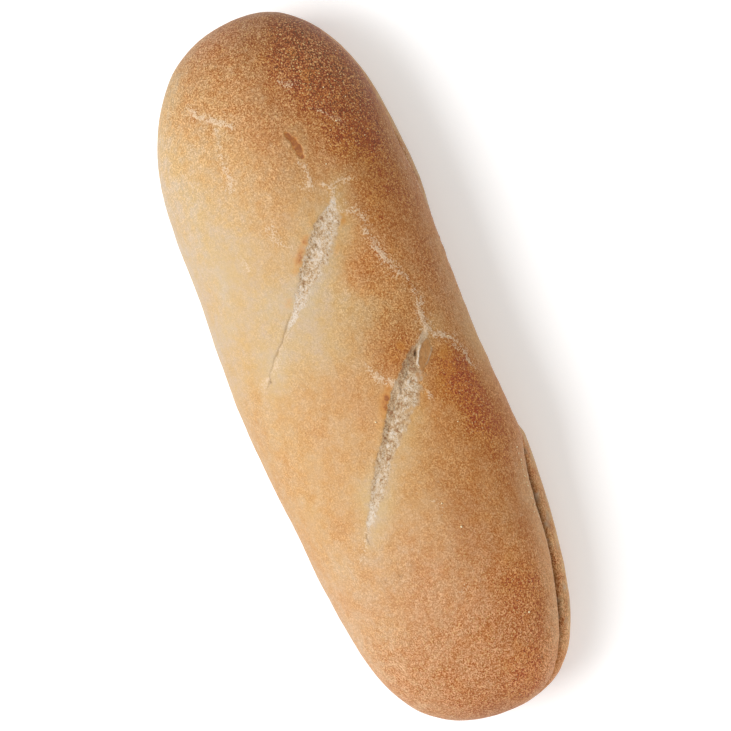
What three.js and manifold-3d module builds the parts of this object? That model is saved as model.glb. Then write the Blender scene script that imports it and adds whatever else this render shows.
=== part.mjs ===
import * as THREE from 'three';
import { mergeVertices } from 'three/addons/utils/BufferGeometryUtils.js';
import Module from 'manifold-3d';

// A sub roll, 8 inches long: one baked piece with a flat underside, a domed crown, two diagonal
// scores on top and a split along one side, where the crown stands off the lower half.
// X runs along the roll, Y across it with the split at +Y, Z up from the flat underside.

const rollLength = 205;
const rollHeight = 47;
const beltHeight = 19;

// Half widths from the -X end to the +X end, evenly spaced: plain side, split side, and how far
// the lower half stands out past the crown (below zero, how far the crown overhangs it).
const plainHalfWidths = [35, 36.5, 35, 36, 34, 31.5, 27.5];
const splitHalfWidths = [35, 34.5, 34.5, 33.5, 34.5, 31.5, 23.5];
const lowerHalfSteps = [
  0, 0, 0, 0.2, 0.5, -0.4, -1.5, -2.2, -2.5,
  -2.4, -2.0, 1.3, 2.5, 2.5, 3.1, 3.2, 3.2,
];

// How bluntly each end is rounded off, as powers for [-X end, +X end], and how far each tip lies
// towards the split side.
const plainBluntness = [3.5, 8];
const splitBluntness = [5, 16];
const tipShift = [3, 2];
const tipShiftPower = 8;
const planRoundness = 2.25;
const crownBluntness = 3.5;
const crownRoundness = 2.05;
const sectionRoundness = 2.25;

const flatHalfLength = 64;
const flatWidthShare = 0.66;
const heelRoundness = 2.3;

// The split along the side.
const lipHeight = 22.5;
const lipRounding = 0.8;
const lowerBeltHeight = 14;
const splitRun = [-66, 97];
const splitFade = 16;
const splitDepth = 5;
const splitMouth = 1.1;
const closedMouth = 0.25;

// How finely the roll is cut up: rings along it, and steps round each ring.
const stationCount = 62;
const tipGap = 0.12;
const crownSteps = 15;
const heelSteps = 8;
const undersideSteps = 6;
const splitHeelSteps = 7;
const shoulderSteps = 5;
const lipAngle = 4;

const crustColor = 0xd0a06a;

// Two scores, each opening from a wide head to a thin tail: [x, y] on the top, and width.
const scores = [
  { head: [-48.5, 14.5], bend: [-32.5, 4.5], tail: [-12.5, -16.5], width: 6.8, depth: 1.8 },
  { head: [-3, 22.5], bend: [19.5, 3], tail: [45.5, -15], width: 7.6, depth: 2.2 },
];
const scoreSteps = 22;

// A score's blade: how far it stands above the crown, and its shape across, as [share of the half
// width, share of the depth]. The leaf scale brings a leaf's widest place to its full width.
const bladeTop = 1.2;
const bladeTopWidth = 1.1;
const bladeFloor = [0.6, 0.85];
const leafScale = 2.6;

const wasm = await Module();
wasm.setup();

function blend(values, u) {
  const last = values.length - 1;
  const place = ((THREE.MathUtils.clamp(u, -1, 1) + 1) / 2) * last;
  const i = Math.min(Math.floor(place), last - 1);
  const before = i > 0 ? values[i - 1] : 2 * values[0] - values[1];
  const after = i < last - 1 ? values[i + 2] : 2 * values[last] - values[last - 1];
  const [a, b, c, d] = [before, values[i], values[i + 1], after];
  const t = place - i;
  return b + 0.5 * t * (c - a + t * (2 * a - 5 * b + 4 * c - d + t * (3 * (b - c) + d - a)));
}

function endRounding(u, power, roundness) {
  return Math.max(0, 1 - Math.abs(u) ** power) ** (1 / roundness);
}

function atEnd(pair, u) {
  return u < 0 ? pair[0] : pair[1];
}

// Everything that shapes the cross-section at x.
function outlineAt(x) {
  const u = THREE.MathUtils.clamp((2 * x) / rollLength, -1, 1);
  const centre = atEnd(tipShift, u) * u ** tipShiftPower;
  const plainEnd = endRounding(u, atEnd(plainBluntness, u), planRoundness);
  const splitEnd = endRounding(u, atEnd(splitBluntness, u), planRoundness);
  const crownEnd = endRounding(u, crownBluntness, crownRoundness);
  const heel = Math.max(0, Math.abs(x) - flatHalfLength) / (rollLength / 2 - flatHalfLength);
  const heelEnd = endRounding(heel, heelRoundness, heelRoundness);
  const step = blend(lowerHalfSteps, u) * splitEnd;
  const split = (blend(splitHalfWidths, u) - centre) * splitEnd;
  return {
    centre,
    plain: (blend(plainHalfWidths, u) + centre) * plainEnd,
    crown: split - Math.max(step, 0),
    lower: split + Math.min(step, 0),
    top: beltHeight + (rollHeight - beltHeight) * crownEnd,
    bottom: beltHeight * (1 - heelEnd),
    lip: beltHeight + (lipHeight - beltHeight) * crownEnd,
    lowerBelt: beltHeight - (beltHeight - lowerBeltHeight) * heelEnd,
    flat: flatWidthShare * heelEnd,
    open: splitOpening(x),
    size: crownEnd,
  };
}

function splitOpening(x) {
  const rise = THREE.MathUtils.smoothstep(x, splitRun[0], splitRun[0] + splitFade);
  const fall = THREE.MathUtils.smoothstep(-x, -splitRun[1], -splitRun[1] + splitFade);
  return rise * fall;
}

// A quarter of a superellipse about (y, z), between two angles in degrees.
function quarter(y, z, radiusY, radiusZ, power, from, to, steps) {
  const points = [];
  for (let i = 0; i <= steps; i++) {
    const angle = THREE.MathUtils.degToRad(from + ((to - from) * i) / steps);
    const along = Math.max(0, Math.cos(angle)) ** (2 / power);
    const up = Math.max(0, Math.sin(angle)) ** (2 / power);
    points.push([y + radiusY * along, z + radiusZ * up]);
  }
  return points;
}

// The closed outline of the roll at x, as [y, z] points: down the plain side, along the underside,
// up the lower half to the split, into the split and out, and up the crown.
function section(x) {
  const s = outlineAt(x);
  const plainEdge = s.centre - s.plain;
  const lowerEdge = s.centre + s.lower;
  const plainBase = s.centre - s.flat * s.plain;
  const splitBase = s.centre + s.flat * s.lower;
  const mouth = (closedMouth + splitMouth * s.open) * s.size;
  const shoulderTop = s.lip - mouth;
  const round = lipRounding * s.size;
  const crease = s.centre + Math.min(s.crown, s.lower) - round;
  const plainCrown = quarter(
    s.centre, beltHeight, -s.plain, s.top - beltHeight, sectionRoundness, 90, 0, crownSteps,
  );
  const plainHeel = quarter(
    plainBase, beltHeight, plainEdge - plainBase, s.bottom - beltHeight, heelRoundness, 0, 90, heelSteps,
  );
  const underside = [];
  for (let i = 1; i < undersideSteps; i++) {
    underside.push([THREE.MathUtils.lerp(plainBase, splitBase, i / undersideSteps), s.bottom]);
  }
  const splitHeel = quarter(
    splitBase, s.lowerBelt, lowerEdge - splitBase, s.bottom - s.lowerBelt, heelRoundness, 90, 0,
    splitHeelSteps,
  );
  const shoulder = quarter(
    crease, s.lowerBelt, lowerEdge - crease, shoulderTop - s.lowerBelt, 2, 0, 90, shoulderSteps,
  );
  const notch = [[crease - splitDepth * s.open, s.lip - mouth / 2]];
  const lip = [[s.centre + s.crown - round, s.lip]];
  const splitCrown = quarter(
    s.centre, s.lip, s.crown, s.top - s.lip, sectionRoundness, lipAngle, 90, crownSteps,
  );
  return [
    ...plainCrown,
    ...plainHeel.slice(1),
    ...underside,
    ...splitHeel,
    ...shoulder.slice(1),
    ...notch,
    ...lip,
    ...splitCrown.slice(0, -1),
  ];
}

// Height of the crown over [x, y].
function crownHeight(x, y) {
  const s = outlineAt(x);
  const across = y - s.centre;
  const foot = across < 0 ? beltHeight : s.lip;
  const reach = Math.abs(across) / (across < 0 ? s.plain : s.crown);
  return foot + (s.top - foot) * (1 - Math.min(1, reach) ** sectionRoundness) ** (1 / sectionRoundness);
}

// Rings of points joined into a closed body, each end drawn to one point.
function loft(rings, firstTip, lastTip) {
  const count = rings[0].length;
  const positions = [firstTip, ...rings.flat(), lastTip].flatMap((p) => p.toArray());
  const lastIndex = rings.length * count + 1;
  const faces = [];
  for (let j = 0; j < count; j++) {
    const next = (j + 1) % count;
    faces.push(0, 1 + next, 1 + j);
    for (let i = 0; i < rings.length - 1; i++) {
      const a = 1 + i * count;
      const b = a + count;
      faces.push(a + j, a + next, b + next, a + j, b + next, b + j);
    }
    const end = 1 + (rings.length - 1) * count;
    faces.push(lastIndex, end + j, end + next);
  }
  const geometry = new THREE.BufferGeometry();
  geometry.setAttribute('position', new THREE.Float32BufferAttribute(positions, 3));
  geometry.setIndex(faces);
  return geometry;
}

function rollBody() {
  const half = rollLength / 2;
  const rings = [];
  for (let i = 0; i < stationCount; i++) {
    const turn = Math.PI * (i / (stationCount - 1) - 0.5);
    const x = (half - tipGap) * Math.sin(turn);
    rings.push(section(x).map(([y, z]) => new THREE.Vector3(x, y, z)));
  }
  const tip = (x) => new THREE.Vector3(x, outlineAt(x).centre, beltHeight);
  return loft(rings, tip(-half), tip(half));
}

// A score's cutter: a leaf-shaped blade that follows the crown, sunk to the score's depth.
function scoreCutter({ head, bend, tail, width, depth }) {
  const path = new THREE.QuadraticBezierCurve(
    new THREE.Vector2(...head), new THREE.Vector2(...bend), new THREE.Vector2(...tail),
  );
  const onCrown = (t) => {
    const p = path.getPoint(t);
    return new THREE.Vector3(p.x, p.y, crownHeight(p.x, p.y));
  };
  const rings = [];
  for (let i = 1; i < scoreSteps; i++) {
    const t = i / scoreSteps;
    const here = onCrown(t);
    const ahead = onCrown(Math.min(1, t + 0.01)).sub(onCrown(Math.max(0, t - 0.01))).normalize();
    const slope = crownHeight(here.x, here.y + 0.5) - crownHeight(here.x, here.y - 0.5);
    const across = new THREE.Vector3(0, 1, slope);
    const up = new THREE.Vector3().crossVectors(ahead, across).normalize();
    const side = new THREE.Vector3().crossVectors(up, ahead).normalize();
    const leaf = Math.sqrt(t) * (1 - t) * leafScale;
    const half = (width / 2) * leaf;
    const deep = depth * Math.sqrt(leaf);
    const floor = half * bladeFloor[0];
    const low = -deep * bladeFloor[1];
    const top = half * bladeTopWidth;
    const outline = [
      [0, -deep], [floor, low], [half, 0], [top, bladeTop], [-top, bladeTop], [-half, 0], [-floor, low],
    ];
    rings.push(outline.map(([a, b]) => here.clone().addScaledVector(side, a).addScaledVector(up, b)));
  }
  return loft(rings, onCrown(0), onCrown(1));
}

function solid(geometry) {
  const plain = mergeVertices(geometry);
  return new wasm.Manifold(new wasm.Mesh({
    numProp: 3,
    vertProperties: plain.getAttribute('position').array,
    triVerts: new Uint32Array(plain.getIndex().array),
  }));
}

function geometryOf(manifold) {
  const mesh = manifold.getMesh();
  const geometry = new THREE.BufferGeometry();
  geometry.setAttribute('position', new THREE.BufferAttribute(mesh.vertProperties, 3));
  geometry.setIndex(new THREE.BufferAttribute(mesh.triVerts, 1));
  return geometry;
}

// The whole roll, moved so that its box is centred over the origin.
function rollGeometry() {
  let roll = solid(rollBody());
  for (const score of scores) {
    roll = roll.subtract(solid(scoreCutter(score)));
  }
  const geometry = geometryOf(roll);
  geometry.computeBoundingBox();
  const middle = geometry.boundingBox.getCenter(new THREE.Vector3());
  geometry.translate(-middle.x, -middle.y, -geometry.boundingBox.min.z);
  geometry.computeVertexNormals();
  return geometry;
}

const crust = new THREE.MeshStandardMaterial({ color: crustColor, roughness: 0.7, metalness: 0 });
const roll = new THREE.Mesh(rollGeometry(), crust);
roll.name = 'roll';

const group = new THREE.Group();
group.add(roll);

export default group;
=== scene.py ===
"""A sub roll: one long soft bread roll, scored twice on top and split along one side."""

import math
import random

import bpy
import numpy as np
from mathutils import Matrix, Vector, noise


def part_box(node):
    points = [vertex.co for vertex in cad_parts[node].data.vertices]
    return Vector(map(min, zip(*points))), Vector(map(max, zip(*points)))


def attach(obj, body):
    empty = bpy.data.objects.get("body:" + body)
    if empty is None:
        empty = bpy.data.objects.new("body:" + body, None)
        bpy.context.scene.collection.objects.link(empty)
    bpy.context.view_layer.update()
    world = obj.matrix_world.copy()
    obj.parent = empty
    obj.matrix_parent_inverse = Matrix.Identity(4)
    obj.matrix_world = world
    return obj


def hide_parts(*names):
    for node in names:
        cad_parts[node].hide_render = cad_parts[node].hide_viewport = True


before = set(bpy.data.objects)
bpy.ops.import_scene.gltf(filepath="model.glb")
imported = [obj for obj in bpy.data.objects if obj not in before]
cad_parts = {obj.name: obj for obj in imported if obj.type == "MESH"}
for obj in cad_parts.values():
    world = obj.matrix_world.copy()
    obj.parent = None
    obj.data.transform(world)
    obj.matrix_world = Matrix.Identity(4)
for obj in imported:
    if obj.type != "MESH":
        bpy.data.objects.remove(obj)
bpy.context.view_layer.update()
bpy.ops.object.select_all(action="DESELECT")

# --- The roll -------------------------------------------------------------------------------
# One piece of soft white dough, rolled to a blunt sausage and baked on a flat sheet: a flat
# underside, a domed crown, and a seam along one side where the crown stands off the lower half.

MM = 0.001
roll_low, roll_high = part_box("roll")
roll_length = (roll_high.x - roll_low.x) / MM
roll_height = (roll_high.z - roll_low.z) / MM
belt_height = 0.404 * roll_height

# Half widths from the -X end to the +X end, evenly spaced: plain side, split side, and how far
# the lower half stands out past the crown (below zero, how far the crown overhangs it).
plain_half_widths = [35, 36.5, 35, 36, 34, 31.5, 27.5]
split_half_widths = [35, 34.5, 34.5, 33.5, 34.5, 31.5, 23.5]
lower_half_steps = [
    0, 0, 0, 0.2, 0.5, -0.4, -1.5, -2.2, -2.5,
    -2.4, -2.0, 1.3, 2.5, 2.5, 3.1, 3.2, 3.2,
]

# How bluntly each end is rounded off, as powers for the -X end and the +X end, and how far each
# tip lies towards the split side.
plain_bluntness = (3.5, 8)
split_bluntness = (5, 16)
tip_shift = (3, 2)
tip_shift_power = 8
plan_roundness = 2.25
crown_bluntness = 3.5
crown_roundness = 2.05
section_roundness = 2.25
flat_half_length = 64
flat_width_share = 0.66
heel_roundness = 2.3

# The split: where it runs and fades out, how deep it goes in, how far it stands open and how far
# when shut, how high its lip hangs above the belt, and how far the shoulder sits below the belt.
split_run = (-66, 97)
split_fade = 16
split_depth = 5
split_mouth = 1.1
shut_mouth = 0.25
lip_rise = 3.5
lip_rounding = 0.8
lip_roundness = 2
shoulder_drop = 5
shoulder_roundness = 2

# Columns of points round the roll, from the middle of the underside up the plain side, over the
# top and down the split side: underside, plain heel, plain crown, split crown, lip, seam roof,
# seam floor, shoulder, split heel, underside.
columns = [10, 22, 66, 66, 4, 8, 8, 12, 18, 10]
column_count = sum(columns)
ring_count = 250


def blend(values, u):
    """A smooth curve through evenly spaced values, read at u from -1 to 1."""
    ends = [2 * values[0] - values[1], *values, 2 * values[-1] - values[-2]]
    q = np.array(ends, float)
    place = (np.clip(u, -1, 1) + 1) / 2 * (len(values) - 1)
    i = np.minimum(place.astype(int), len(values) - 2)
    t = place - i
    a, b, c, d = q[i], q[i + 1], q[i + 2], q[i + 3]
    return b + 0.5 * t * (c - a + t * (2 * a - 5 * b + 4 * c - d + t * (3 * (b - c) + d - a)))


def rounding(u, power, roundness):
    """How full the roll still is at u, from 1 in the middle to 0 at both ends."""
    return np.maximum(0, 1 - np.abs(u) ** power) ** (1 / roundness)


def step(low, high, value):
    """A smooth rise from 0 at low to 1 at high."""
    t = np.clip((value - low) / (high - low), 0, 1)
    return t * t * (3 - 2 * t)


def opening(x):
    """How far the split is open at x: 1 along its run, fading to 0 at both of its ends."""
    start, end = split_run
    return step(start, start + split_fade, x) * step(-end, -end + split_fade, -x)


def quarter(y, z, radius_y, radius_z, power, start, end):
    """A quarter of a superellipse, between two angles in degrees, as a fine line of points."""
    fine_points = 90
    angle = np.radians(np.linspace(start, end, fine_points))
    along = np.abs(np.cos(angle)) ** (2 / power)
    up = np.abs(np.sin(angle)) ** (2 / power)
    return np.column_stack([y + radius_y * along, z + radius_z * up])


def evenly(line, count):
    """The line again, as count even steps, without its last point."""
    run = np.concatenate([[0], np.cumsum(np.hypot(*np.diff(line, axis=0).T))])
    at = np.linspace(0, run[-1], count + 1)[:-1]
    return np.column_stack([np.interp(at, run, line[:, 0]), np.interp(at, run, line[:, 1])])


def section(x):
    """The roll's cross-section at x, one point for each column."""
    u = np.array(2 * x / roll_length)
    end = int(x > 0)
    centre = tip_shift[end] * u**tip_shift_power
    plain_end = rounding(u, plain_bluntness[end], plan_roundness)
    split_end = rounding(u, split_bluntness[end], plan_roundness)
    crown_end = rounding(u, crown_bluntness, crown_roundness)
    heel = max(0, abs(x) - flat_half_length) / (roll_length / 2 - flat_half_length)
    heel_end = rounding(heel, heel_roundness, heel_roundness)
    out = blend(lower_half_steps, u) * split_end
    plain = (blend(plain_half_widths, u) + centre) * plain_end
    split = (blend(split_half_widths, u) - centre) * split_end
    crown = split - max(out, 0)
    lower = split + min(out, 0)
    top = belt_height + (roll_height - belt_height) * crown_end
    bottom = belt_height * (1 - heel_end)
    lip = belt_height + lip_rise * crown_end
    low_belt = belt_height - shoulder_drop * heel_end
    opened = opening(x)
    mouth = (shut_mouth + split_mouth * opened) * crown_end
    edge = lip_rounding * crown_end
    crease = centre + min(crown, lower) - edge
    plain_base = centre - flat_width_share * heel_end * plain
    split_base = centre + flat_width_share * heel_end * lower
    plain_heel = (centre - plain - plain_base, bottom - belt_height)
    shoulder = (centre + lower - crease, lip - mouth - low_belt)
    split_heel = (centre + lower - split_base, bottom - low_belt)
    roof = [crease - split_depth * opened, lip - mouth / 2]
    lip_line = quarter(centre + crown - edge, lip + edge, edge, -edge, lip_roundness, 0, 90)
    lines = [
        np.array([[centre, bottom], [plain_base, bottom]]),
        quarter(plain_base, belt_height, *plain_heel, heel_roundness, 90, 0),
        quarter(centre, belt_height, -plain, top - belt_height, section_roundness, 0, 90),
        quarter(centre, lip + edge, crown, top - lip - edge, section_roundness, 90, 0),
        lip_line,
        np.array([lip_line[-1], roof]),
        np.array([roof, [crease, lip - mouth]]),
        quarter(crease, low_belt, *shoulder, shoulder_roundness, 90, 0),
        quarter(split_base, low_belt, *split_heel, heel_roundness, 0, 90),
        np.array([[split_base, bottom], [centre, bottom]]),
    ]
    return np.concatenate([evenly(line, count) for line, count in zip(lines, columns)])


def stations():
    """Where the rings stand along the roll, evenly spaced over the crown's ridge."""
    fine_points = 2000
    x = np.cos(np.linspace(math.pi, 0, fine_points)) * roll_length / 2
    crown_end = rounding(2 * x / roll_length, crown_bluntness, crown_roundness)
    z = (roll_height - belt_height) * crown_end
    run = np.concatenate([[0], np.cumsum(np.hypot(np.diff(x), np.diff(z)))])
    return np.interp(np.linspace(0, run[-1], ring_count + 1), run, x)


rings = [np.column_stack([np.full(column_count, x), section(x)]) for x in stations()]
skin = np.array(rings)
flat_middle = (skin.reshape(-1, 3).min(0) + skin.reshape(-1, 3).max(0)) / 2
skin -= [flat_middle[0], flat_middle[1], 0]


def on_skin(directions):
    """Places on the roll for directions from its middle: pole to pole, and round the rings."""
    unit = directions / np.linalg.norm(directions, axis=1)[:, None]
    ring = (1 - np.arccos(np.clip(unit[:, 0], -1, 1)) / math.pi) * ring_count
    turn = np.arctan2(-unit[:, 1], -unit[:, 2]) / (2 * math.pi) % 1
    column = np.round(turn * column_count, 6)
    i = np.minimum(np.floor(ring + 1e-6).astype(int), ring_count - 1)
    j = np.floor(column).astype(int)
    s, t = (ring - i)[:, None], (column - j)[:, None]
    j, k = j % column_count, (j + 1) % column_count
    near = skin[i, j] * (1 - t) + skin[i, k] * t
    far = skin[i + 1, j] * (1 - t) + skin[i + 1, k] * t
    return near * (1 - s) + far * s


bpy.ops.mesh.primitive_uv_sphere_add(
    segments=column_count, ring_count=ring_count, radius=1, rotation=(0, math.pi / 2, 0)
)
roll = bpy.context.object
roll.name = "baked_roll"
bpy.ops.object.transform_apply(rotation=True)


def places(mesh):
    """Where the mesh's points are, a row of x, y and z for each."""
    co = np.empty(len(mesh.vertices) * 3)
    mesh.vertices.foreach_get("co", co)
    return co.reshape(-1, 3)


def put(mesh, co):
    """Moves the mesh's points to these places."""
    mesh.vertices.foreach_set("co", np.ascontiguousarray(co, dtype=np.float32).ravel())
    mesh.update()


# --- Where the dough opened -----------------------------------------------------------------
# Two slanting scores were cut in the proofed dough and gaped as it rose, and the skin round them
# stretched into pale crackled lines. Each is a run of points from end to end, seen from above, and
# each point is (x, y, half width) in mm.

scores = {
    "first": [
        (-46.9, 14.4, 0.3), (-44.7, 13.8, 0.7), (-41.0, 11.6, 2.4), (-38.6, 9.7, 3.3),
        (-35.6, 6.8, 3.4), (-32.2, 4.0, 3.4), (-29.1, 0.9, 2.8), (-26.1, -1.7, 2.2),
        (-22.6, -4.6, 1.5), (-19.9, -7.6, 0.9), (-16.9, -10.6, 0.5), (-14.4, -13.0, 0.15),
    ],
    "second": [
        (-3.1, 23.3, 0.6), (0.2, 21.3, 1.6), (2.7, 18.6, 2.7), (5.2, 16.4, 3.0),
        (7.9, 14.5, 3.2), (10.5, 12.3, 3.8), (13.6, 9.9, 3.5), (17.1, 6.8, 2.9),
        (20.5, 4.3, 2.4), (24.2, 1.1, 2.2), (27.7, -1.5, 2.1), (31.7, -4.2, 2.0),
        (35.7, -7.1, 1.3), (39.3, -10.0, 0.8), (42.0, -11.9, 0.2),
    ],
}
# How strong each stretch line is, and its run.
stretch_lines = [
    (0.60, [(-41.5, 14.5, 0.9), (-40.4, 17.4, 1.2), (-37.7, 19.4, 1.1), (-34.8, 18.8, 0.9),
            (-31.3, 19.2, 0.9)]),
    (1.10, [(-31.3, 19.2, 0.6), (-26.6, 20.0, 0.7), (-24.0, 21.0, 0.8), (-20.3, 22.6, 0.5)]),
    (0.55, [(-20.3, 22.6, 0.4), (-19.5, 23.6, 0.5), (-14.0, 24.7, 0.6), (-11.5, 24.9, 0.5)]),
    (1.05, [(-11.5, 24.9, 0.4), (-8.7, 24.1, 0.7), (-5.6, 23.8, 0.6), (-3.5, 23.7, 0.8)]),
    (0.95, [(-3.5, 23.7, 0.6), (-2.1, 25.4, 0.6), (0.6, 28.3, 0.35), (2.5, 29.4, 0.3),
            (5.2, 29.9, 0.3), (8.7, 30.6, 0.35), (11.1, 31.6, 0.3)]),
    (0.65, [(-3.5, 23.7, 0.7), (-1.6, 21.9, 0.8), (0.4, 20.2, 0.6)]),
    (0.90, [(-50.0, 13.2, 0.25), (-48.9, 13.8, 0.3), (-47.5, 14.4, 0.5), (-45.5, 14.0, 0.7)]),
    (0.75, [(-49.4, 17.5, 0.25), (-48.6, 15.7, 0.3), (-46.7, 14.3, 0.4)]),
    (0.95, [(-57.8, 9.0, 0.3), (-56.2, 10.1, 0.4), (-53.2, 10.2, 0.4), (-51.7, 10.1, 0.5),
            (-50.9, 8.7, 0.8)]),
    (0.50, [(-49.7, 16.7, 0.5), (-48.8, 19.0, 0.8), (-47.9, 21.2, 0.6)]),
    (0.70, [(0.5, 5.6, 0.6), (3.9, 7.4, 0.9), (6.4, 9.4, 1.0), (8.4, 11.2, 1.0)]),
    (0.70, [(41.3, -11.8, 0.5), (43.4, -12.9, 0.7), (45.2, -14.7, 0.7), (47.5, -16.4, 0.6)]),
    (0.70, [(-15.9, -11.3, 0.5), (-14.2, -13.2, 0.7), (-10.5, -16.2, 0.8), (-8.4, -18.6, 1.0),
            (-7.0, -20.4, 0.6), (-5.7, -23.1, 0.7)]),
    (1.00, [(11.6, 17.4, 0.2), (12.8, 17.9, 0.3), (13.8, 18.2, 0.2)]),
    (0.55, [(38.8, 7.4, 0.3), (40.3, 8.7, 0.3), (42.2, 9.9, 0.3), (44.0, 9.4, 0.25)]),
    (0.50, [(-44.0, -5.0, 0.9), (-41.4, -5.0, 1.0), (-39.4, -3.6, 0.7), (-36.0, -0.4, 0.5)]),
    (1.15, [(-83.3, -14.1, 0.4), (-79.8, -12.7, 0.8), (-78.3, -10.3, 0.8), (-75.0, -6.6, 0.6),
            (-73.6, -4.6, 0.4)]),
    (0.95, [(-74.7, -9.0, 0.3), (-71.2, -9.4, 0.35), (-68.1, -9.9, 0.35), (-65.3, -9.8, 0.5),
            (-61.2, -10.6, 0.7), (-57.9, -10.7, 0.6)]),
    (0.55, [(-40.2, -15.4, 0.5), (-36.4, -14.5, 0.6)]),
    (0.45, [(-72.9, -17.2, 0.7), (-71.9, -16.2, 0.7)]),
    (0.60, [(-80.5, 11.9, 0.6), (-78.5, 13.3, 0.8), (-78.0, 16.3, 0.5)]),
    (0.45, [(-69.3, 18.8, 0.4), (-66.3, 21.4, 0.5), (-63.6, 23.2, 0.4)]),
    (0.50, [(-66.6, -22.0, 0.4), (-62.5, -20.6, 0.4)]),
    (0.50, [(64.3, 7.4, 0.5), (65.2, 5.7, 0.4)]),
]
creases = [
    [(-21.3, -7.9, 0.08), (-17.2, -11.4, 0.17), (-14.8, -13.4, 0.17), (-12.6, -15.5, 0.17),
     (-11.4, -17.0, 0.13), (-8.1, -20.0, 0.07), (-6.0, -20.9, 0.2), (-5.0, -22.3, 0.05)],
    [(41.6, -11.8, 0.12), (42.6, -12.3, 0.16), (44.7, -11.9, 0.08)],
]
blister = [
    (-66.4, 8.4, 0.5), (-64.6, 9.4, 0.9), (-62.3, 10.0, 1.1), (-60.4, 10.3, 1.25), (-59.0, 10.5, 0.9),
]
flake = [(-0.4, 22.8, 0.5), (0.9, 21.8, 1.6), (2.6, 20.6, 1.7), (4.7, 19.2, 1.2), (6.3, 18.7, 0.3)]

# Each kind of mark stops at its own height in mm, so that none is drawn on the underside too.
cut_above = 30
score_above = 28
spot_above = 25
line_above = 20

# How far beyond the cuts and the lines the mesh is made finer, and by the cuts finer again.
cut_margin = 1.3
line_margin = 0.5
finest_margin = 0.8


def beside(path, co):
    """For places seen from above: how far along the path they lie, how far to its left, and the
    path's half width there."""
    near = np.full(len(co), np.inf)
    along, left, half = np.zeros((3, len(co)))
    start = 0
    for (x0, y0, w0), (x1, y1, w1) in zip(path, path[1:]):
        run = math.hypot(x1 - x0, y1 - y0)
        dx, dy = (x1 - x0) / run, (y1 - y0) / run
        ox, oy = co[:, 0] - x0, co[:, 1] - y0
        t = np.clip(ox * dx + oy * dy, 0, run)
        away = np.hypot(ox - t * dx, oy - t * dy)
        closer = away < near
        side = np.where(ox * -dy + oy * dx < 0, -1, 1)
        near = np.where(closer, away, near)
        along = np.where(closer, start + t, along)
        left = np.where(closer, side * away, left)
        half = np.where(closer, w0 + (w1 - w0) * t / run, half)
        start += run
    return along, left, half


def close_to(paths, margin, co):
    """Which places lie on one of the paths or within the margin of it."""
    close = np.zeros(len(co), bool)
    for path in paths:
        _, left, half = beside(path, co)
        close |= np.abs(left) < half + margin
    return close & (co[:, 2] > cut_above)


def subdivide_where(chosen):
    """Halves the edges of the faces that chosen picks by the places of their middles."""
    mesh = roll.data
    middles = np.empty(len(mesh.polygons) * 3)
    mesh.polygons.foreach_get("center", middles)
    picked = chosen(on_skin(middles.reshape(-1, 3)))
    for items in (mesh.vertices, mesh.edges, mesh.polygons):
        items.foreach_set("select", np.zeros(len(items), bool))
    mesh.polygons.foreach_set("select", picked)
    bpy.ops.object.mode_set(mode="EDIT")
    bpy.ops.mesh.select_mode(type="FACE")
    bpy.ops.mesh.subdivide(number_cuts=1)
    bpy.ops.object.mode_set(mode="OBJECT")


cut_paths = [*scores.values(), flake, blister, *creases]
line_paths = [path for _, path in stretch_lines]
subdivide_where(
    lambda co: close_to(cut_paths, cut_margin, co) | close_to(line_paths, line_margin, co)
)
subdivide_where(lambda co: close_to(cut_paths, finest_margin, co))
directions = places(roll.data)
co = on_skin(directions)
column = np.arctan2(-directions[:, 1], -directions[:, 2]) / (2 * math.pi) % 1 * column_count
put(roll.data, co * MM)
bpy.ops.object.mode_set(mode="EDIT")
bpy.ops.mesh.select_all(action="SELECT")
bpy.ops.mesh.normals_make_consistent(inside=False)
bpy.ops.object.mode_set(mode="OBJECT")
bpy.ops.object.shade_smooth()


def grain(co, size, seed):
    """Soft random values from -1 to 1 that change over size, in millimetres."""
    shift = Vector((seed * 7.31, seed * 3.17, seed * 5.83))
    return np.array([noise.noise(Vector(p) / size + shift) for p in co])


outward = np.empty(len(co) * 3)
roll.data.vertices.foreach_get("normal", outward)
outward = outward.reshape(-1, 3)

# What the surface is like at each point: how far it rises in mm, and from 0 to 1 how much of it is
# open crumb, how toasted that crumb is, how scorched, how starchy the skin is, how much painted
# shade darkens it in pits, creases, pores, slits and the seam, and how far a score has drawn it taut.
rise = np.zeros(len(co))
crumb, torn, toast, pale, painted_shade, taut = np.zeros((6, len(co)))

# Where the heat caught an edge: x, y, reach, and how deep the colour is.
toasted_edges = [
    (-41.3, 6.7, 1.6, 0.5), (-37.4, 3.1, 1.6, 0.8), (-35.4, 0.6, 2.2, 0.8), (-33.6, -0.6, 2.4, 0.92),
    (-31.2, -2.4, 1.9, 0.55), (-24.2, -8.2, 1.9, 0.5), (7.8, 8.2, 1.8, 0.7), (9.8, 6.8, 2.3, 0.95),
    (11.2, 6.0, 2.3, 0.95), (13.0, 4.8, 1.9, 0.65), (15.5, 3.4, 1.8, 0.4), (-38.9, 14.5, 1.9, 0.9),
    (-32.0, 10.1, 1.9, 0.65), (12.6, 17.8, 1.7, 0.7), (-1.6, 15.6, 1.2, 0.6),
]


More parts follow.
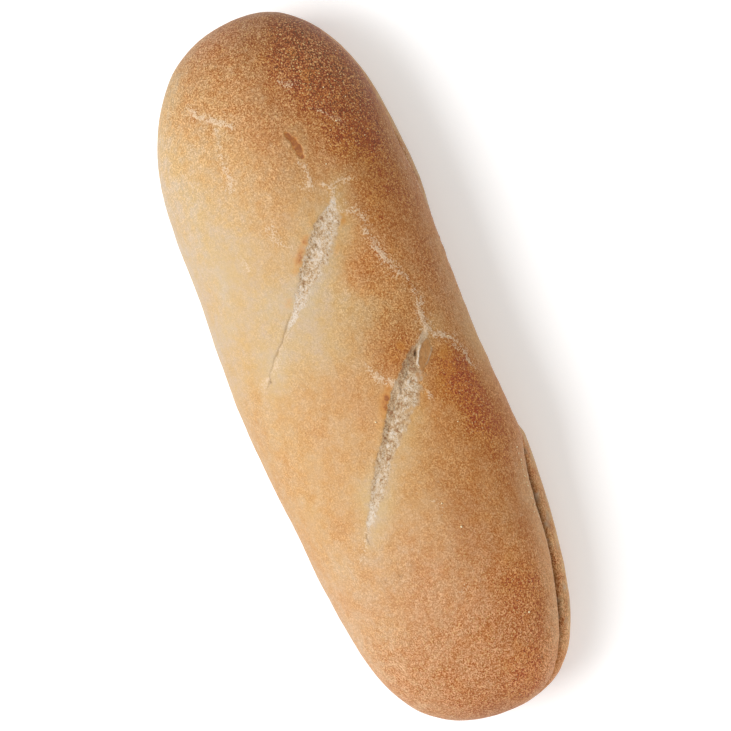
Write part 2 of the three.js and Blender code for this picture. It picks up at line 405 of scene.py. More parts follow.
def open_score(path, seed, deepest, browned, tail, middle):
    """Sinks one score, about deepest mm where it is widest: a lip on its right-hand side, and a
    floor of torn crumb that climbs to the skin on its left. How toasted that crumb is goes from
    tail, where the score is thin, to middle, where it is wide, with browned added at its head.
    Beside the lip the crumb also takes a little painted shade, and pits in its floor are darkened
    with painted shade."""
    skin_beside = 7
    shallowest = 0.2
    along, left, half = beside(path, co)
    use = np.flatnonzero((np.abs(left) < half + skin_beside) & (co[:, 2] > score_above))
    here, along, left, half = co[use], along[use], left[use], half[use]
    ragged = 0.5 * grain(here, 3.1, seed) + 0.4 * grain(here, 1.2, seed + 1)
    ragged += 0.3 * grain(here, 0.6, seed + 2)
    left = left + ragged * np.minimum(1, half)
    inside = left / half
    gape = step(0.25, 0.8, half)
    wide = step(0.6, 2.8, half)

    strands = grain(np.column_stack([along / 2.4, left, half]), 0.6, seed + 3)
    wall = step(-0.4, 2.0, left + half)
    climb = 1 - 0.85 * step(-0.5, 0.9, inside)
    closed = 1 - step(0.8, 1.2, inside)
    tufts = 0.14 * grain(here, 1.5, seed + 4) + 0.08 * strands
    pits = step(0.35, 0.6, grain(here, 1.2, seed + 5)) * wide
    floor = wall * climb * closed * gape
    rise[use] -= floor * (shallowest + (deepest - shallowest) * wide - tufts + 0.3 * pits)
    rim = -(left + half)
    rise[use] += 0.1 * wide * np.exp(-(((rim - 0.6) / 0.7) ** 2))

    frayed = inside + 0.45 * grain(here, 1.6, seed + 6)
    open_here = step(-0.35, 0.35, left + half) * (1 - step(0.5, 1.3, frayed)) * gape
    crumb[use] = np.maximum(crumb[use], open_here)
    # Painted shade: the crumb beside the lip is made a little darker, as though the lip shaded it.
    dim = 1 - step(-1.0, -0.4, inside + 0.3 * grain(here, 2.2, seed + 7))
    lumps = step(0.0, 0.4, grain(here, 1.9, seed + 8)) * np.exp(-(((inside + 0.1) / 0.4) ** 2))
    tan = step(0.1, 0.45, grain(here, 1.0, seed + 9))
    pale_rim = step(0.3, 0.8, inside)
    by_head = np.clip(1 - along / 13, 0, 1)
    mottle = 0.06 * dim + 0.26 * tan - 0.32 * lumps - 0.10 * pale_rim - 0.25 * strands
    torn_here = tail + (middle - tail + mottle) * wide + browned * by_head - 0.1 * strands
    torn[use] = np.where(open_here > 0.01, torn_here, torn[use])
    # Painted shade in the pits of the floor.
    painted_shade[use] = np.maximum(painted_shade[use], 0.2 * pits * floor)

    lip = np.exp(-(((rim - 0.7) / 1.8) ** 2))
    far_lip = 0.8 * np.exp(-(((left - half - 0.8) / 1.2) ** 2))
    rims = np.maximum(lip, far_lip)
    for px, py, reach, amount in toasted_edges:
        near = np.exp(-(((here[:, 0] - px) ** 2 + (here[:, 1] - py) ** 2) / reach**2))
        near *= 1 + 0.5 * grain(here, 1.2, seed + 10)
        toast[use] = np.maximum(toast[use], amount * near * rims * (1 - open_here))
    stretched = np.exp(-((np.maximum(0, np.abs(left) - half) / np.where(left > 0, 3.8, 2.0)) ** 2))
    taut[use] = np.maximum(taut[use], stretched * np.where(left > 0, 1, 0.5))


open_score(scores["first"], seed=3, deepest=0.4, browned=0.12, tail=0.06, middle=0.42)
open_score(scores["second"], seed=11, deepest=0.5, browned=0.42, tail=0.25, middle=0.55)

# The stretch lines are bands of fine cracks in the skin, dusted with starch, patchy and just
# lifted.
line_reach = 4
for number, (strength, path) in enumerate(stretch_lines):
    _, left, half = beside(path, co)
    use = np.flatnonzero((np.abs(left) < line_reach) & (co[:, 2] > line_above))
    here = co[use]
    wander = left[use] + 0.7 * grain(here, 2.6, 20 + number) + 0.5 * grain(here, 1.0, 40 + number)
    patchy = np.clip(0.92 + 0.8 * grain(here, 2.4, 60 + number), 0.3, 1.3)
    core = np.exp(-((wander / half[use]) ** 2))
    haze = np.exp(-((wander / (0.6 + 2.3 * half[use])) ** 2))
    pale[use] = np.maximum(pale[use], strength * patchy * (0.62 * core + 0.36 * haze))
    rise[use] += 0.12 * strength * patchy * core

# Where the scores' tails stayed shut there is a hairline crease, sunk a little and darkened with
# painted shade.
crease_reach = 2
thinnest_crease = 0.12
for path in creases:
    _, left, half = beside(path, co)
    use = np.flatnonzero((np.abs(left) < crease_reach) & (co[:, 2] > score_above))
    wander = left[use] + 0.45 * grain(co[use], 2.2, 66)
    line = np.exp(-((wander / np.maximum(thinnest_crease, half[use])) ** 2))
    line *= np.minimum(1, half[use] / thinnest_crease)
    rise[use] -= 0.2 * line
    painted_shade[use] = np.maximum(painted_shade[use], 0.5 * line)

# A blister by the -X end burst and toasted to a brown crescent with a lifted rim; painted shade
# darkens the crescent a little too.
blister_reach = 4
_, left, half = beside(blister, co)
use = np.flatnonzero((np.abs(left) < blister_reach) & (co[:, 2] > score_above))
here = co[use]
edge = (np.abs(left[use]) + 0.5 * grain(here, 1.4, 64)) / half[use]
crescent = 1 - step(0.6, 1.1, edge)
toast[use] = np.maximum(toast[use], (0.95 + 0.2 * grain(here, 1.0, 68)) * crescent)
painted_shade[use] = np.maximum(painted_shade[use], crescent * (0.08 + 0.12 * grain(here, 0.9, 67)))
rise[use] += 0.1 * np.exp(-(((edge - 1.4) / 0.35) ** 2)) - 0.18 * crescent

# Smaller scorched spots on the skin: x, y, reach, and how deep the colour is.
scorched_spots = [
    (-26.3, 22.7, 0.8, 0.6), (-1.8, 15.8, 1.1, 0.9), (0.2, 14.2, 0.9, 0.5), (4.5, 25.8, 2.2, 0.6),
    (8.4, 25.6, 2.6, 0.6), (11.4, 22.4, 2.4, 0.5), (15.0, 25.5, 3.0, 0.3), (-27.2, 23.8, 1.6, 0.4),
    (-47.5, 20.0, 2.0, 0.25), (-41.0, 24.0, 2.5, 0.25), (-79.0, 19.0, 2.6, 0.3),
    (-74.0, 16.5, 2.2, 0.3), (62.0, 21.0, 3.0, 0.3), (69.0, 17.0, 2.6, 0.3),
]
for px, py, reach, amount in scorched_spots:
    away = np.hypot(co[:, 0] - px, co[:, 1] - py)
    use = np.flatnonzero((away < 3 * reach) & (co[:, 2] > spot_above))
    patchy = np.clip(0.8 + 0.8 * grain(co[use], 2.2, 65), 0, 1.3)
    spot = amount * np.exp(-((away[use] / reach) ** 2)) * patchy * (1 - crumb[use])
    toast[use] = np.maximum(toast[use], spot)

# At the second score's head a flake of browned skin bridges the gap. Its edges are dry and pale,
# the right-hand one turned up in a thin bright curl with a slit beside it. The curl is pale as dry
# crumb and brighter still with painted light, as if glowing through its thin edge; the slit is
# darkened with painted shade.
flake_reach = 3.5
along, left, half = beside(flake, co)
use = np.flatnonzero((np.abs(left) < flake_reach) & (co[:, 2] > score_above))
here = co[use]
along, left, half = along[use], left[use] + 0.2 * grain(co[use], 1.6, 61), half[use]
bridge = 1 - step(0.9, 1.08, np.abs(left) / half)
middle = step(0.8, 2.0, along) * (1 - step(6.2, 7.6, along))
curl = np.exp(-(((left + half - 0.12) / 0.24) ** 2)) * middle
far_edge = np.exp(-(((left - half + 0.1) / 0.2) ** 2)) * middle
slit = np.exp(-(((left + half + 0.42) / 0.26) ** 2)) * np.exp(-(((along - 3.9) / 0.8) ** 2))
rise[use] = rise[use] * (1 - bridge) + (0.15 + 0.1 * grain(here, 1.1, 62)) * bridge
rise[use] += 0.25 * curl + 0.12 * far_edge - 0.8 * slit
dry_edge_and_glow = np.clip(1.3 * curl + 0.8 * far_edge, 0, 1)
crumb[use] = np.maximum(crumb[use] * (1 - bridge) + 0.6 * bridge, dry_edge_and_glow)
torn[use] = torn[use] * (1 - bridge) + (0.98 + 0.25 * grain(here, 1.0, 66)) * bridge
torn[use] = torn[use] * (1 - dry_edge_and_glow) + (0.3 - 0.6 * curl) * dry_edge_and_glow
toast[use] = (toast[use] * (1 - bridge) + 0.35 * bridge) * (1 - dry_edge_and_glow)
painted_shade[use] = np.maximum(painted_shade[use], 1.1 * slit)
pale[use] = pale[use] * (1 - bridge)

# A few pores in the skin, sunk a little and darkened with painted shade: x, y, and half width.
pore_places = [
    (55.3, -7.6, 0.45), (55.2, -12.3, 0.45), (91.1, 18.1, 0.35), (-5.9, -20.8, 0.3), (5.9, 14.6, 0.4),
    (6.5, 14.0, 0.3), (-27.0, 24.6, 0.3), (3.6, 16.2, 0.35), (8.1, 14.9, 0.35), (9.4, 12.6, 0.3),
]
for px, py, size in pore_places:
    pore = np.exp(-(((co[:, 0] - px) ** 2 + (co[:, 1] - py) ** 2) / size**2))
    pore *= co[:, 2] > spot_above
    rise -= 0.25 * pore
    painted_shade = np.maximum(painted_shade, 0.65 * pore)

# Along the split the crown's lip is thin and dry, and the shoulder below it dips into shadow. Each
# number in seam is the column at which a stretch of columns starts.
seam = np.cumsum([0, *columns])
x, y, z = co.T
split_open = opening(x)
inside_seam = (column > seam[4] + 1) & (column < seam[7])
by_lip = np.exp(-(((column - seam[4]) / 5) ** 2))
dip = np.exp(-((np.maximum(0, column - seam[7]) / 1.7) ** 2))
dip *= (column > seam[6] + 2) * split_open
shoulder = np.clip((column - seam[7]) / columns[7], 0, 1)
on_shoulder = (column >= seam[7]) & (column < seam[8])
lower_half = (column >= seam[7]) & (column < seam[9])

# The skin is never quite even: broad dimples from proofing, and a fine pebble from baking.
rise += 0.3 * grain(co, 21, 70) + 0.14 * grain(co, 7, 71) + 0.05 * grain(co, 2.4, 72)
rise += by_lip * 0.14 * grain(co, 3.5, 73)
rise[inside_seam] *= 0.3
rise -= 0.9 * dip
put(roll.data, (co + outward * rise[:, None]) * MM)

# Browning, along the plain side, the ridge and the split side: darkest at the -X end and above
# the split, palest on the plain side. A patch is (x, y, reach in x, reach in y, amount).
brown_plain_side = [0.40, 0.22, 0.10, 0.11, 0.32, 0.37, 0.35, 0.40, 0.55]
brown_ridge = [0.62, 0.53, 0.38, 0.29, 0.42, 0.42, 0.50, 0.57, 0.76]
brown_split_side = [0.78, 1.0, 0.92, 0.78, 0.58, 0.92, 0.62, 0.66, 0.68]
brown_patches = [
    (-46, 17, 9, 6, -0.25), (-24, 12, 6, 5, 0.12), (1, 16, 7, 7, 0.28), (-22, 22, 9, 4, -0.10),
    (-3, 24, 6, 6, -0.06), (9, 26.5, 9, 4.5, 0.32), (30, 18, 12, 6, -0.15), (-14, -4, 12, 9, -0.22),
    (36, -7, 8, 5, -0.18), (50, -9, 10, 7, -0.07), (72, 20, 13, 8, 0.22), (95, 15, 8, 8, 0.20),
    (-86, 21, 12, 9, 0.50), (-73, 29, 12, 5, 0.34), (-62, 5, 10, 4, 0.09), (-28, 28, 8, 4, -0.12),
    (-52, 23, 7, 5, -0.12), (-66, 12, 8, 4, -0.13), (21, 22, 6, 3, -0.12), (35, 26, 9, 4, -0.14),
    (-73, 17, 4, 3, 0.12), (-14, 32, 12, 3, 0.10),
    (-75, -7, 9, 5, -0.10), (-76, -21, 16, 6, 0.11), (-8, -19, 6, 4, -0.14), (24, -8, 5, 6, -0.09),
    (85, -20, 8, 6, 0.11), (52, 29, 14, 3, 0.12), (8, 0, 9, 5, 0.06), (50, 14, 6, 5, 0.07),
]


def patches(spots):
    """The sum of soft round patches."""
    sum_so_far = np.zeros(len(co))
    for px, py, reach_x, reach_y, amount in spots:
        sum_so_far += amount * np.exp(-(((x - px) / reach_x) ** 2) - ((y - py) / reach_y) ** 2)
    return sum_so_far


u = 2 * x / roll_length
drift = 0.32 * grain(co, 20, 86) * (1 - step(12, 30, z))
plain_share = 1 - step(-24, 0, y)
split_share = step(4, 26, y)
brown = blend(brown_plain_side, np.clip(u + drift, -1, 1)) * plain_share
brown += blend(brown_split_side, u) * split_share
brown += blend(brown_ridge, u) * (1 - plain_share - split_share)
brown += patches(brown_patches)

# It fades by the lip, low on the plain side and where the skin was drawn taut. The shoulder is
# brownest by the seam, partly its own baked colour and partly painted shade under the lip; the
# rest of the lower half is pale, and what stood on the sheet is evenly brown.
lip_y = np.interp(x, skin[:, seam[4], 0], skin[:, seam[4], 1])
plain_y = np.interp(x, skin[:, seam[2], 0], skin[:, seam[2], 1])
brown -= 0.2 * (1 - step(0.5, 5, lip_y - y))
brown -= (0.02 + 0.10 * (1 - step(-45, 15, x + 100 * drift))) * (1 - step(1, 12, y - plain_y))
brown -= 0.14 * taut
brown += 0.05 * grain(co, 9, 81)
streaks = 0.3 * grain(np.column_stack([x / 2, y, z]), 1.8, 85)
# On the shoulder, browner towards the seam: partly baked colour, partly painted shade under the lip.
below = np.where(on_shoulder, 0.72 - 0.42 * shoulder + streaks, np.where(lower_half, 0.3, brown))
brown += (below - brown) * (1 - step(82, 101, np.abs(x)))
brown = np.maximum(brown, 0.08 + 0.1 * grain(co, 13, 84) + 0.14 * (1 - step(8, 28, z)))
underneath = 1 - step(0.5, 7, z)
brown_underneath = 0.58
brown = brown * (1 - underneath) + brown_underneath * underneath

# How bright the skin is at the same browning: duller at the -X end, brighter at the +X end above
# the split, and with painted shade along the split side's outer edge short of x = 40.
tone = 1.03 - 0.22 * (1 - step(-88, -10, x)) * step(-5, 9, y) - 0.16 * (1 - step(-100, -80, x))
tone += patches([(-4, 16, 14, 13, -0.14)])
tone = np.where(lower_half, np.maximum(tone, 0.94), tone)
tone += patches([(43, 13, 20, 7, -0.10), (28, 23, 12, 5, -0.08), (-42, 25, 28, 6, -0.10)])
tone -= 0.06 * (1 - step(-84, -66, x)) * (1 - step(-4, 4, y)) + 0.05 * (1 - step(-32, -26, y))
tone += 0.02 * step(4, 12, x) * step(20, 28, y) + 0.13 * step(50, 70, x) * step(12, 24, y)
# The second term on the next line is painted shade along the split side's outer edge.
tone += 0.27 * step(80, 98, x) * step(2, 16, y) - 0.07 * (1 - step(10, 40, x)) * step(27, 33, y)

# How far it leans from yellow to rose: most at both ends and low on the plain side, least where
# it is darkest. The extra rose low on the plain side and by the split edge at the -X end is a
# painted sheen, the white room reflected where the skin turns away.
rosy = 0.69 + 0.23 * step(30, 62, x) * (1 - step(16, 26, y)) + 0.2 * (1 - step(-100, -90, x))
# The first term on the next line, low on the plain side, is a painted sheen.
rosy += 0.08 * (1 - step(-33, -22, y)) - 0.35 * step(0.6, 0.95, brown) + 0.08 * step(66, 80, x)
# The patch at x = -87 is a painted sheen by the split edge.
rosy += patches([
    (5, 18, 60, 10, -0.17), (-58, 26, 16, 5, -0.25), (16, 28, 16, 4, -0.35), (-87, 24, 7, 4, 0.25),
])

# How strongly its grain shows: most where it is brown, at both ends and on the shoulder.
grainy = 0.10 + 0.44 * brown + 0.22 * step(45, 85, x)
grainy += (0.32 - 0.07 * step(0, 12, y)) * (1 - step(-90, -30, x))
grainy += patches([(-14, 16, 14, 14, 0.17)]) + 0.10 * grain(co, 8, 82)
grainy += 0.3 * on_shoulder * split_open + 0.15 * by_lip * split_open
grainy *= 0.8 + 0.2 * step(15, 35, z)

# Brown skin reddens in spots, the shoulder is scuffed down to the crumb here and there, and the
# seam is crumb all through, with a dry whitish lip. Where the shoulder dips under the lip it is
# darkened with painted shade.
reddened = step(0.1, 0.55, grain(co, 5, 80)) * step(0.35, 0.75, brown) * (z > 12)
toast = np.maximum(toast, 0.21 * reddened)
scuffed = on_shoulder * step(-0.05, 0.35, grain(co, 2.6, 87)) * step(10, 22, z) * split_open
crumb = np.maximum(crumb, np.where(inside_seam, 0.9, 0.7 * scuffed))
torn = np.where(inside_seam, 0.75, np.where(on_shoulder, 0.65 + 1.0 * grain(co, 1.3, 88), torn))
# Painted shade where the shoulder dips under the lip.
painted_shade = np.maximum(painted_shade, 0.7 * dip * (1 - 0.5 * step(55, 80, x)))
dry_lip = np.exp(-(((column - seam[4] + 2.0) / 1.7) ** 2)) * split_open
pale = np.maximum(pale, 0.5 * dry_lip * (0.65 + 0.35 * step(20, 40, x) + 0.7 * grain(co, 3.0, 83)))

# The tone goes a little above 1, so it is stored as a share of this.
brightest_tone = 2.0
for name, values in {
    "brown": brown, "tone": tone / brightest_tone, "rosy": rosy, "grainy": grainy,
    "crumb": crumb, "torn": torn, "toast": toast, "pale": pale, "painted_shade": painted_shade,
}.items():
    layer = roll.data.attributes.new(name, "FLOAT", "POINT")
    layer.data.foreach_set("value", np.clip(values, 0, 1).astype(np.float32))

# The finish of the crust: a skin that runs from straw through gold to chestnut, freckled with
# pale starch and darker pores; open crumb in the cuts; painted shade in pits, creases and the
# seam; all of it dull, with a faint sheen.


def add(tree, kind, **given):
    """A new node. Each name is one of its settings, or else a socket of its own, with _ for a space
    or _ and the socket's number. What it is given is set there, or linked if it is a socket."""
    made = tree.nodes.new("ShaderNode" + kind)
    for name, value in given.items():
        if hasattr(made, name) and not isinstance(value, bpy.types.NodeSocket):
            setattr(made, name, value)
            continue
        key = int(name[1:]) if name[0] == "_" else name.replace("_", " ")
        if isinstance(value, bpy.types.NodeSocket):
            tree.links.new(value, made.inputs[key])
        else:
            made.inputs[key].default_value = value
    return made


def maths(tree, operation, a, b):
    """One sum: a and b taken together by the operation."""
    return add(tree, "Math", operation=operation, _0=a, _1=b).outputs[0]


def total(tree, *parts):
    """The sum of the parts, each a value or a (value, times) pair."""
    parts = [maths(tree, "MULTIPLY", *part) if isinstance(part, tuple) else part for part in parts]
    sum_so_far = parts[0]
    for part in parts[1:]:
        sum_so_far = maths(tree, "ADD", sum_so_far, part)
    return sum_so_far


def spread(tree, value, low, high, to_low=-1.0, to_high=1.0):
    """The value with what lies from low to high spread from to_low to to_high, and no further."""
    made = add(tree, "MapRange", _0=value, _1=low, _2=high, _3=to_low, _4=to_high)
    return made.outputs[0]


def ramp(tree, value, stops):
    """The colour at the value, between stops of (position, colour)."""
    made = add(tree, "ValToRGB", _0=value)
    elements = made.color_ramp.elements
    while len(elements) < len(stops):
        elements.new(0.5)
    for element, (position, colour) in zip(elements, stops):
        element.position = position
        element.color = (*colour, 1)
    return made.outputs["Color"]


def mix(tree, share, a, b):
    """Colour a, with this share of colour b over it."""
    made = add(tree, "Mix", data_type="RGBA", _0=share)
    for socket, value in ((made.inputs[6], a), (made.inputs[7], b)):
        if isinstance(value, bpy.types.NodeSocket):
            tree.links.new(value, socket)
        else:
            socket.default_value = (*value, 1)
    return made.outputs[2]


def noise_of(tree, place, size, detail, roughness=0.5):
    """Noise whose patches are about size millimetres across."""
    made = add(
        tree, "TexNoise", Vector=place, Scale=1000 / size, Detail=detail, Roughness=roughness
    )
    return made.outputs["Fac"]


def cells_of(tree, place, size, feature="F1"):
    """Random cells about size millimetres across."""
    return add(tree, "TexVoronoi", feature=feature, Vector=place, Scale=1000 / size).outputs


# Grain that all baked dough shares: Fine, Middle, Broad and Blotch swing to either side of 0, and
# from 0 to 1 there are round freckles, round pores and a net of hair cracks.
grain_tree = bpy.data.node_groups.new("baked grain", "ShaderNodeTree")
grain_tree.interface.new_socket("Place", in_out="INPUT", socket_type="NodeSocketVector")
for name in ("Fine", "Middle", "Broad", "Blotch", "Freckles", "Pores", "Cracks"):
    grain_tree.interface.new_socket(name, in_out="OUTPUT", socket_type="NodeSocketFloat")
inlet = grain_tree.nodes.new("NodeGroupInput").outputs["Place"]
outlet = grain_tree.nodes.new("NodeGroupOutput")
granule = add(
    grain_tree, "SeparateColor", Color=cells_of(grain_tree, inlet, 0.30)["Color"]
).outputs[0]
granule = spread(grain_tree, maths(grain_tree, "POWER", granule, 2.0), 0.0, 1.0, -0.75, 1.5)
fine = total(
    grain_tree, (granule, 0.70),
    (spread(grain_tree, noise_of(grain_tree, inlet, 0.4, 1, 0.6), 0.3, 0.7), 0.4),
)


def dots_of(place, size, widest):
    """Round dots of random width, one to a cell: 1 inside, 0 outside."""
    cells = cells_of(grain_tree, place, size)
    width = add(grain_tree, "SeparateColor", Color=cells["Color"]).outputs[1]
    beyond = total(grain_tree, cells["Distance"], (width, -widest))
    return spread(grain_tree, beyond, 0.05, -0.06, 0.0, 1.0)


small_dots = dots_of(inlet, 0.64, 0.385)
large_dots = dots_of(inlet, 2.1, 0.15)
clumps = spread(grain_tree, noise_of(grain_tree, inlet, 0.95, 3, 0.6), 0.3, 0.75, 0.0, 1.0)
pores = spread(grain_tree, cells_of(grain_tree, inlet, 1.3)["Distance"], 0.18, 0.09, 0.0, 1.0)
warped = add(
    grain_tree, "VectorMath", operation="MULTIPLY_ADD",
    _0=add(grain_tree, "TexNoise", Vector=inlet, Scale=600.0, Detail=2.0).outputs["Color"],
    _1=(0.001, 0.001, 0.001), _2=inlet,
).outputs[0]
cracks = cells_of(grain_tree, warped, 1.1, "DISTANCE_TO_EDGE")["Distance"]
for name, value in {
    "Fine": fine,
    "Middle": spread(grain_tree, maths(grain_tree, "POWER", clumps, 2.0), 0.0, 1.0, -0.6, 1.9),
    "Broad": spread(grain_tree, noise_of(grain_tree, inlet, 3.2, 2), 0.34, 0.66),
    "Blotch": spread(grain_tree, noise_of(grain_tree, inlet, 11, 2), 0.32, 0.68),
    "Freckles": maths(grain_tree, "MAXIMUM", small_dots, large_dots),
    "Pores": pores,
    "Cracks": spread(grain_tree, cracks, 0.10, 0.02, 0.0, 1.0),
}.items():
    grain_tree.links.new(value, outlet.inputs[name])

crust = bpy.data.materials.new("baked crust")
crust.use_nodes = True
tree = crust.node_tree
skin_shader = tree.nodes["Principled BSDF"]
place = add(tree, "TexCoord").outputs["Object"]
grains = add(tree, "Group", node_tree=grain_tree, Place=place).outputs


def layer_of(name):
    """What was stored at the roll's points under this name."""
    return add(tree, "Attribute", attribute_name=name).outputs["Fac"]


glint_colour = (0.36, 0.225, 0.125)
least_rosy = (1, 1, 0.55)
most_rosy = (1, 1, 1.2)
darkest_skin = (0.1, 0.04, 0.01)
freckle_colour = (0.74, 0.49, 0.205)
pore_colour = (0.20, 0.08, 0.025)
starch_colour = (0.66, 0.485, 0.32)
shadow_colour = (0.13, 0.06, 0.022)
relief_height = 0.00006

grainy = layer_of("grainy")
flecked = total(tree, (grains["Fine"], -0.12), (grains["Middle"], -0.10), (grains["Broad"], 0.10))
shade = total(
    tree, layer_of("brown"), (flecked, grainy), (grains["Broad"], 0.03), (grains["Blotch"], 0.04)
)
skin_colour = ramp(tree, shade, [
    (0.0, (0.50, 0.385, 0.245)), (0.25, (0.525, 0.338, 0.160)), (0.4, (0.515, 0.284, 0.115)),
    (0.55, (0.48, 0.226, 0.082)), (0.7, (0.445, 0.180, 0.056)), (0.85, (0.40, 0.136, 0.032)),
    (1.0, (0.345, 0.080, 0.0155)),
])
glint = add(
    tree, "VectorMath", operation="SCALE", _0=glint_colour,
    Scale=maths(tree, "MULTIPLY", grainy, grains["Fine"]),
).outputs[0]
skin_colour = add(tree, "VectorMath", operation="ADD", _0=skin_colour, _1=glint).outputs[0]
level = maths(tree, "MULTIPLY", layer_of("tone"), brightest_tone)
skin_colour = add(tree, "VectorMath", operation="SCALE", _0=skin_colour, Scale=level).outputs[0]
rosy = total(tree, layer_of("rosy"), (grains["Middle"], 0.08), (grains["Broad"], -0.10))
tint = mix(tree, rosy, least_rosy, most_rosy)
skin_colour = add(tree, "VectorMath", operation="MULTIPLY", _0=skin_colour, _1=tint).outputs[0]
skin_colour = add(
    tree, "VectorMath", operation="MAXIMUM", _0=skin_colour, _1=darkest_skin
).outputs[0]
clustered = total(tree, (grains["Broad"], 0.6), (grains["Blotch"], 0.4))
clustered = spread(tree, clustered, -0.7, 0.5, 0.4)
freckled = maths(tree, "MULTIPLY", maths(tree, "MULTIPLY", grains["Freckles"], clustered), grainy)
skin_colour = mix(tree, freckled, skin_colour, freckle_colour)
pored = maths(tree, "MULTIPLY", grains["Pores"], maths(tree, "MULTIPLY", grainy, 0.5))
skin_colour = mix(tree, pored, skin_colour, pore_colour)

torn = total(
    tree, layer_of("torn"), (grains["Fine"], 0.30), (grains["Middle"], 0.14), (grains["Broad"], 0.06)
)
crumb_colour = ramp(tree, torn, [
    (0.0, (0.66, 0.555, 0.445)), (0.25, (0.59, 0.455, 0.32)), (0.5, (0.515, 0.36, 0.21)),
    (0.75, (0.40, 0.245, 0.125)), (1.0, (0.29, 0.14, 0.062)),
])
crumb_share = total(tree, layer_of("crumb"), (grains["Fine"], 0.12), (grains["Middle"], 0.16))
crumb_share = spread(tree, crumb_share, 0.15, 0.9, 0.0, 1.0)
colour = mix(tree, crumb_share, skin_colour, crumb_colour)
toasted = total(tree, layer_of("toast"), (grains["Middle"], 0.09), (grains["Fine"], 0.10))
toasted = spread(tree, toasted, 0.08, 0.95, 0.0, 0.9)
scorch = ramp(tree, toasted, [
    (0.3, (0.55, 0.232, 0.034)), (0.7, (0.45, 0.160, 0.023)), (0.9, (0.27, 0.077, 0.016)),
])
colour = mix(tree, toasted, colour, scorch)
pale = layer_of("pale")
dusted = total(
    tree, pale, (grains["Fine"], 0.5), (grains["Middle"], 0.25), (grains["Cracks"], 0.3)
)
dusted = spread(tree, dusted, 0.4, 1.15, 0.0, 0.9)
starch = maths(tree, "MULTIPLY", dusted, spread(tree, pale, 0.02, 0.3, 0.0, 1.0))
colour = mix(tree, starch, colour, starch_colour)
# Painted shade in pits, creases, pores, slits and the seam: the colour is darkened towards a shadow
# colour.
shadow = maths(tree, "MULTIPLY", layer_of("painted_shade"), 0.85)
colour = mix(tree, shadow, colour, shadow_colour)
tree.links.new(colour, skin_shader.inputs["Base Color"])
roughed = total(tree, (grains["Fine"], 0.45), (grains["Middle"], 0.3), (grains["Freckles"], 0.3))
bumps = maths(tree, "MULTIPLY", roughed, total(tree, (layer_of("crumb"), 2.0), 1.0))
relief = add(tree, "Bump", Strength=1.0, Distance=relief_height, Height=bumps)
tree.links.new(relief.outputs["Normal"], skin_shader.inputs["Normal"])
skin_shader.inputs["Roughness"].default_value = 0.6
skin_shader.inputs["Specular IOR Level"].default_value = 0.3
roll.data.materials.append(crust)
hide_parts("roll")
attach(roll, "root")

# --- Loose crumbs ---------------------------------------------------------------------------
# Dry crumbs from the slicing and racking of the batch, stuck to the skin and along the split's
# lip: small torn lumps of pale crumb, a quarter of a millimetre to nearly one across. Each is
# (x, y, size) in mm, and a few small strays lie anywhere on top.

crumb_places = [
    (49.2, 12.4, 0.8), (77.7, 19.8, 0.55), (-73.9, 22.2, 0.6), (-70.0, 26.4, 0.45),
    (-64.5, 22.2, 0.5), (-58.6, 27.7, 0.4), (-54.7, 15.7, 0.45), (-39.9, 18.3, 0.5),
    (0.4, 28.2, 0.65), (41.5, 10.4, 0.6), (14.9, 2.1, 0.6), (23.0, 22.5, 0.4),
]
lip_crumbs = [
    (35.8, 33.4, 0.5), (37.4, 33.1, 0.45), (38.8, 32.9, 0.8), (39.9, 32.7, 0.5), (40.9, 32.6, 0.7),
    (42.3, 32.4, 0.5), (43.9, 32.2, 0.75), (45.2, 32.0, 0.45), (46.6, 31.9, 0.6), (48.1, 31.8, 0.45),
    (50.0, 31.5, 0.6), (51.5, 31.3, 0.85), (53.8, 30.8, 0.5),
]
stray_count = 8
stray_sizes = (0.22, 0.35)
lump_widths = (0.6, 0.9)
lump_heights = (0.5, 0.8)
lump_roughness = 0.45
lump_grain = 0.5
lump_lift = 0.2
chance = random.Random(7)
on_top = np.flatnonzero(z > spot_above)
above_lip = np.flatnonzero((column > seam[3]) & (column < seam[4] - 2))
spots = []
for px, py, size in crumb_places:
    spots.append((on_top[np.argmin(np.hypot(x[on_top] - px, y[on_top] - py))], size))
for px, py, size in lip_crumbs:
    spots.append((above_lip[np.argmin(np.hypot(x[above_lip] - px, y[above_lip] - py))], size))
for _ in range(stray_count):
    spots.append((chance.choice(on_top), chance.uniform(*stray_sizes)))
bpy.ops.object.select_all(action="DESELECT")
lumps = []
for vertex, size in spots:
    at = co[vertex] + outward[vertex] * (rise[vertex] + lump_lift * size)
    bpy.ops.mesh.primitive_ico_sphere_add(
        subdivisions=2, radius=size / 2 * MM, location=Vector(at) * MM,
        rotation=[chance.uniform(0, math.tau) for _ in range(3)],
        scale=(1, chance.uniform(*lump_widths), chance.uniform(*lump_heights)),
    )
    lump = bpy.context.object
    for point in lump.data.vertices:
        rough = noise.noise(point.co / (lump_grain * size * MM) + Vector((vertex, 0, 0)))
        point.co *= 1 + lump_roughness * rough
    lumps.append(lump)
for lump in lumps:
    lump.select_set(True)
bpy.ops.object.join()
crumbs = bpy.context.object
crumbs.name = "loose_crumbs"
bpy.ops.object.transform_apply(location=True, rotation=True, scale=True)
bpy.ops.object.shade_smooth()

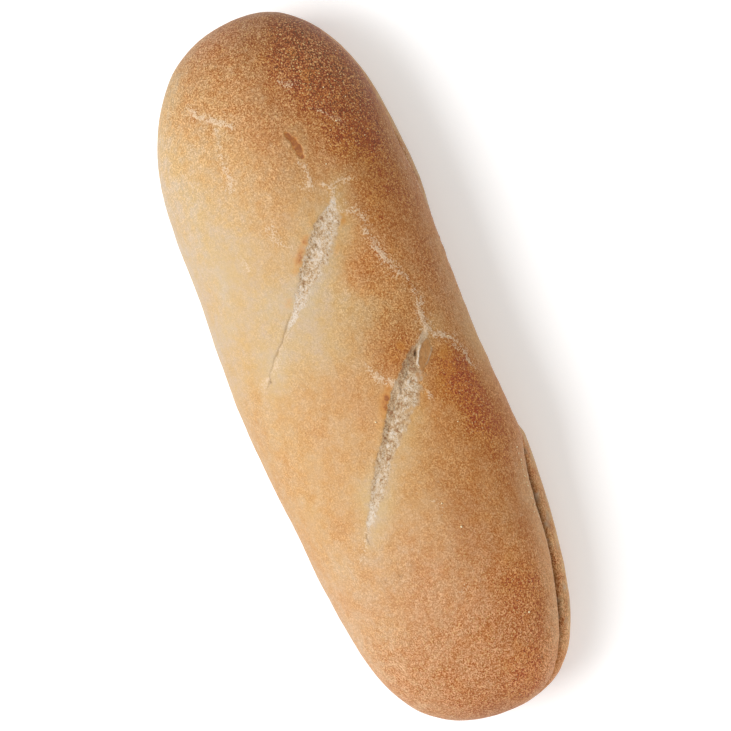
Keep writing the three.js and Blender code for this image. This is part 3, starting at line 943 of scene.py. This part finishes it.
dry_crumb = bpy.data.materials.new("dry crumb")
dry_crumb.use_nodes = True
tree = dry_crumb.node_tree
crumb_shader = tree.nodes["Principled BSDF"]
crumb_relief_height = 0.00005
place = add(tree, "TexCoord").outputs["Object"]
grains = add(tree, "Group", node_tree=grain_tree, Place=place).outputs
shade = spread(tree, total(tree, grains["Fine"], grains["Middle"]), -1.6, 1.6, 0.0, 1.0)
colour = ramp(tree, shade, [
    (0.0, (0.95, 0.83, 0.56)), (0.6, (0.88, 0.72, 0.44)), (1.0, (0.60, 0.42, 0.22)),
])
tree.links.new(colour, crumb_shader.inputs["Base Color"])
relief = add(tree, "Bump", Strength=1.0, Distance=crumb_relief_height, Height=grains["Fine"])
tree.links.new(relief.outputs["Normal"], crumb_shader.inputs["Normal"])
crumb_shader.inputs["Roughness"].default_value = 0.85
crumb_shader.inputs["Specular IOR Level"].default_value = 0.2
crumbs.data.materials.append(dry_crumb)
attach(crumbs, "root")

# --- The table and the light ----------------------------------------------------------------
# The roll lies on a matt white table in a white room, lit by one square softbox high on its plain
# side. The table glows a little, so that it stays white round the soft shadow.

bpy.ops.mesh.primitive_plane_add(size=4, location=(0, 0, 0))
table = bpy.context.object
table.name = "table"
white = bpy.data.materials.new("white table")
white.use_nodes = True
white_shader = white.node_tree.nodes["Principled BSDF"]
white_shader.inputs["Base Color"].default_value = (0.9, 0.9, 0.9, 1)
white_shader.inputs["Roughness"].default_value = 0.9
white_shader.inputs["Emission Color"].default_value = (1, 1, 1, 1)
white_shader.inputs["Emission Strength"].default_value = 0.25
table.data.materials.append(white)

world = bpy.data.worlds.new("studio")
bpy.context.scene.world = world
world.use_nodes = True
room = world.node_tree.nodes["Background"]
room.inputs["Color"].default_value = (1, 1, 1, 1)
room.inputs["Strength"].default_value = 0.62
bpy.context.scene.view_settings.view_transform = "Standard"

softbox_place = (-0.1, -0.62, 0.95)
softbox_side = 0.7
softbox_watts = 11
lit_point = Vector((0, 0, 0.02))
bpy.ops.object.light_add(type="AREA", location=softbox_place)
key = bpy.context.object
key.name = "softbox"
key.data.shape = "RECTANGLE"
key.data.size = softbox_side
key.data.size_y = softbox_side
key.data.energy = softbox_watts
key.rotation_euler = (lit_point - key.location).to_track_quat("-Z", "Y").to_euler()

# --- The camera -----------------------------------------------------------------------------
# A long lens almost overhead, leaning to the split side, and turned so that the -X end lies at the
# top. Lengths are in metres and the lens in millimetres.

tilt = math.radians(7)
turn = math.radians(67.84)
away = 0.9
across = Vector((1, 0, 0))
upward = Vector((0, math.cos(tilt), -math.sin(tilt)))
back = Vector((0, math.sin(tilt), math.cos(tilt)))
right = across * math.cos(turn) + upward * math.sin(turn)
up = upward * math.cos(turn) - across * math.sin(turn)
aim = Vector((-0.00051, 0.00192, 0.019))
camera_data = bpy.data.cameras.new("camera")
camera_data.lens = 160.4
camera = bpy.data.objects.new("camera", camera_data)
bpy.context.scene.collection.objects.link(camera)
facing = Matrix((right, up, back)).transposed().to_4x4()
camera.matrix_world = Matrix.Translation(aim + back * away) @ facing
bpy.context.scene.camera = camera
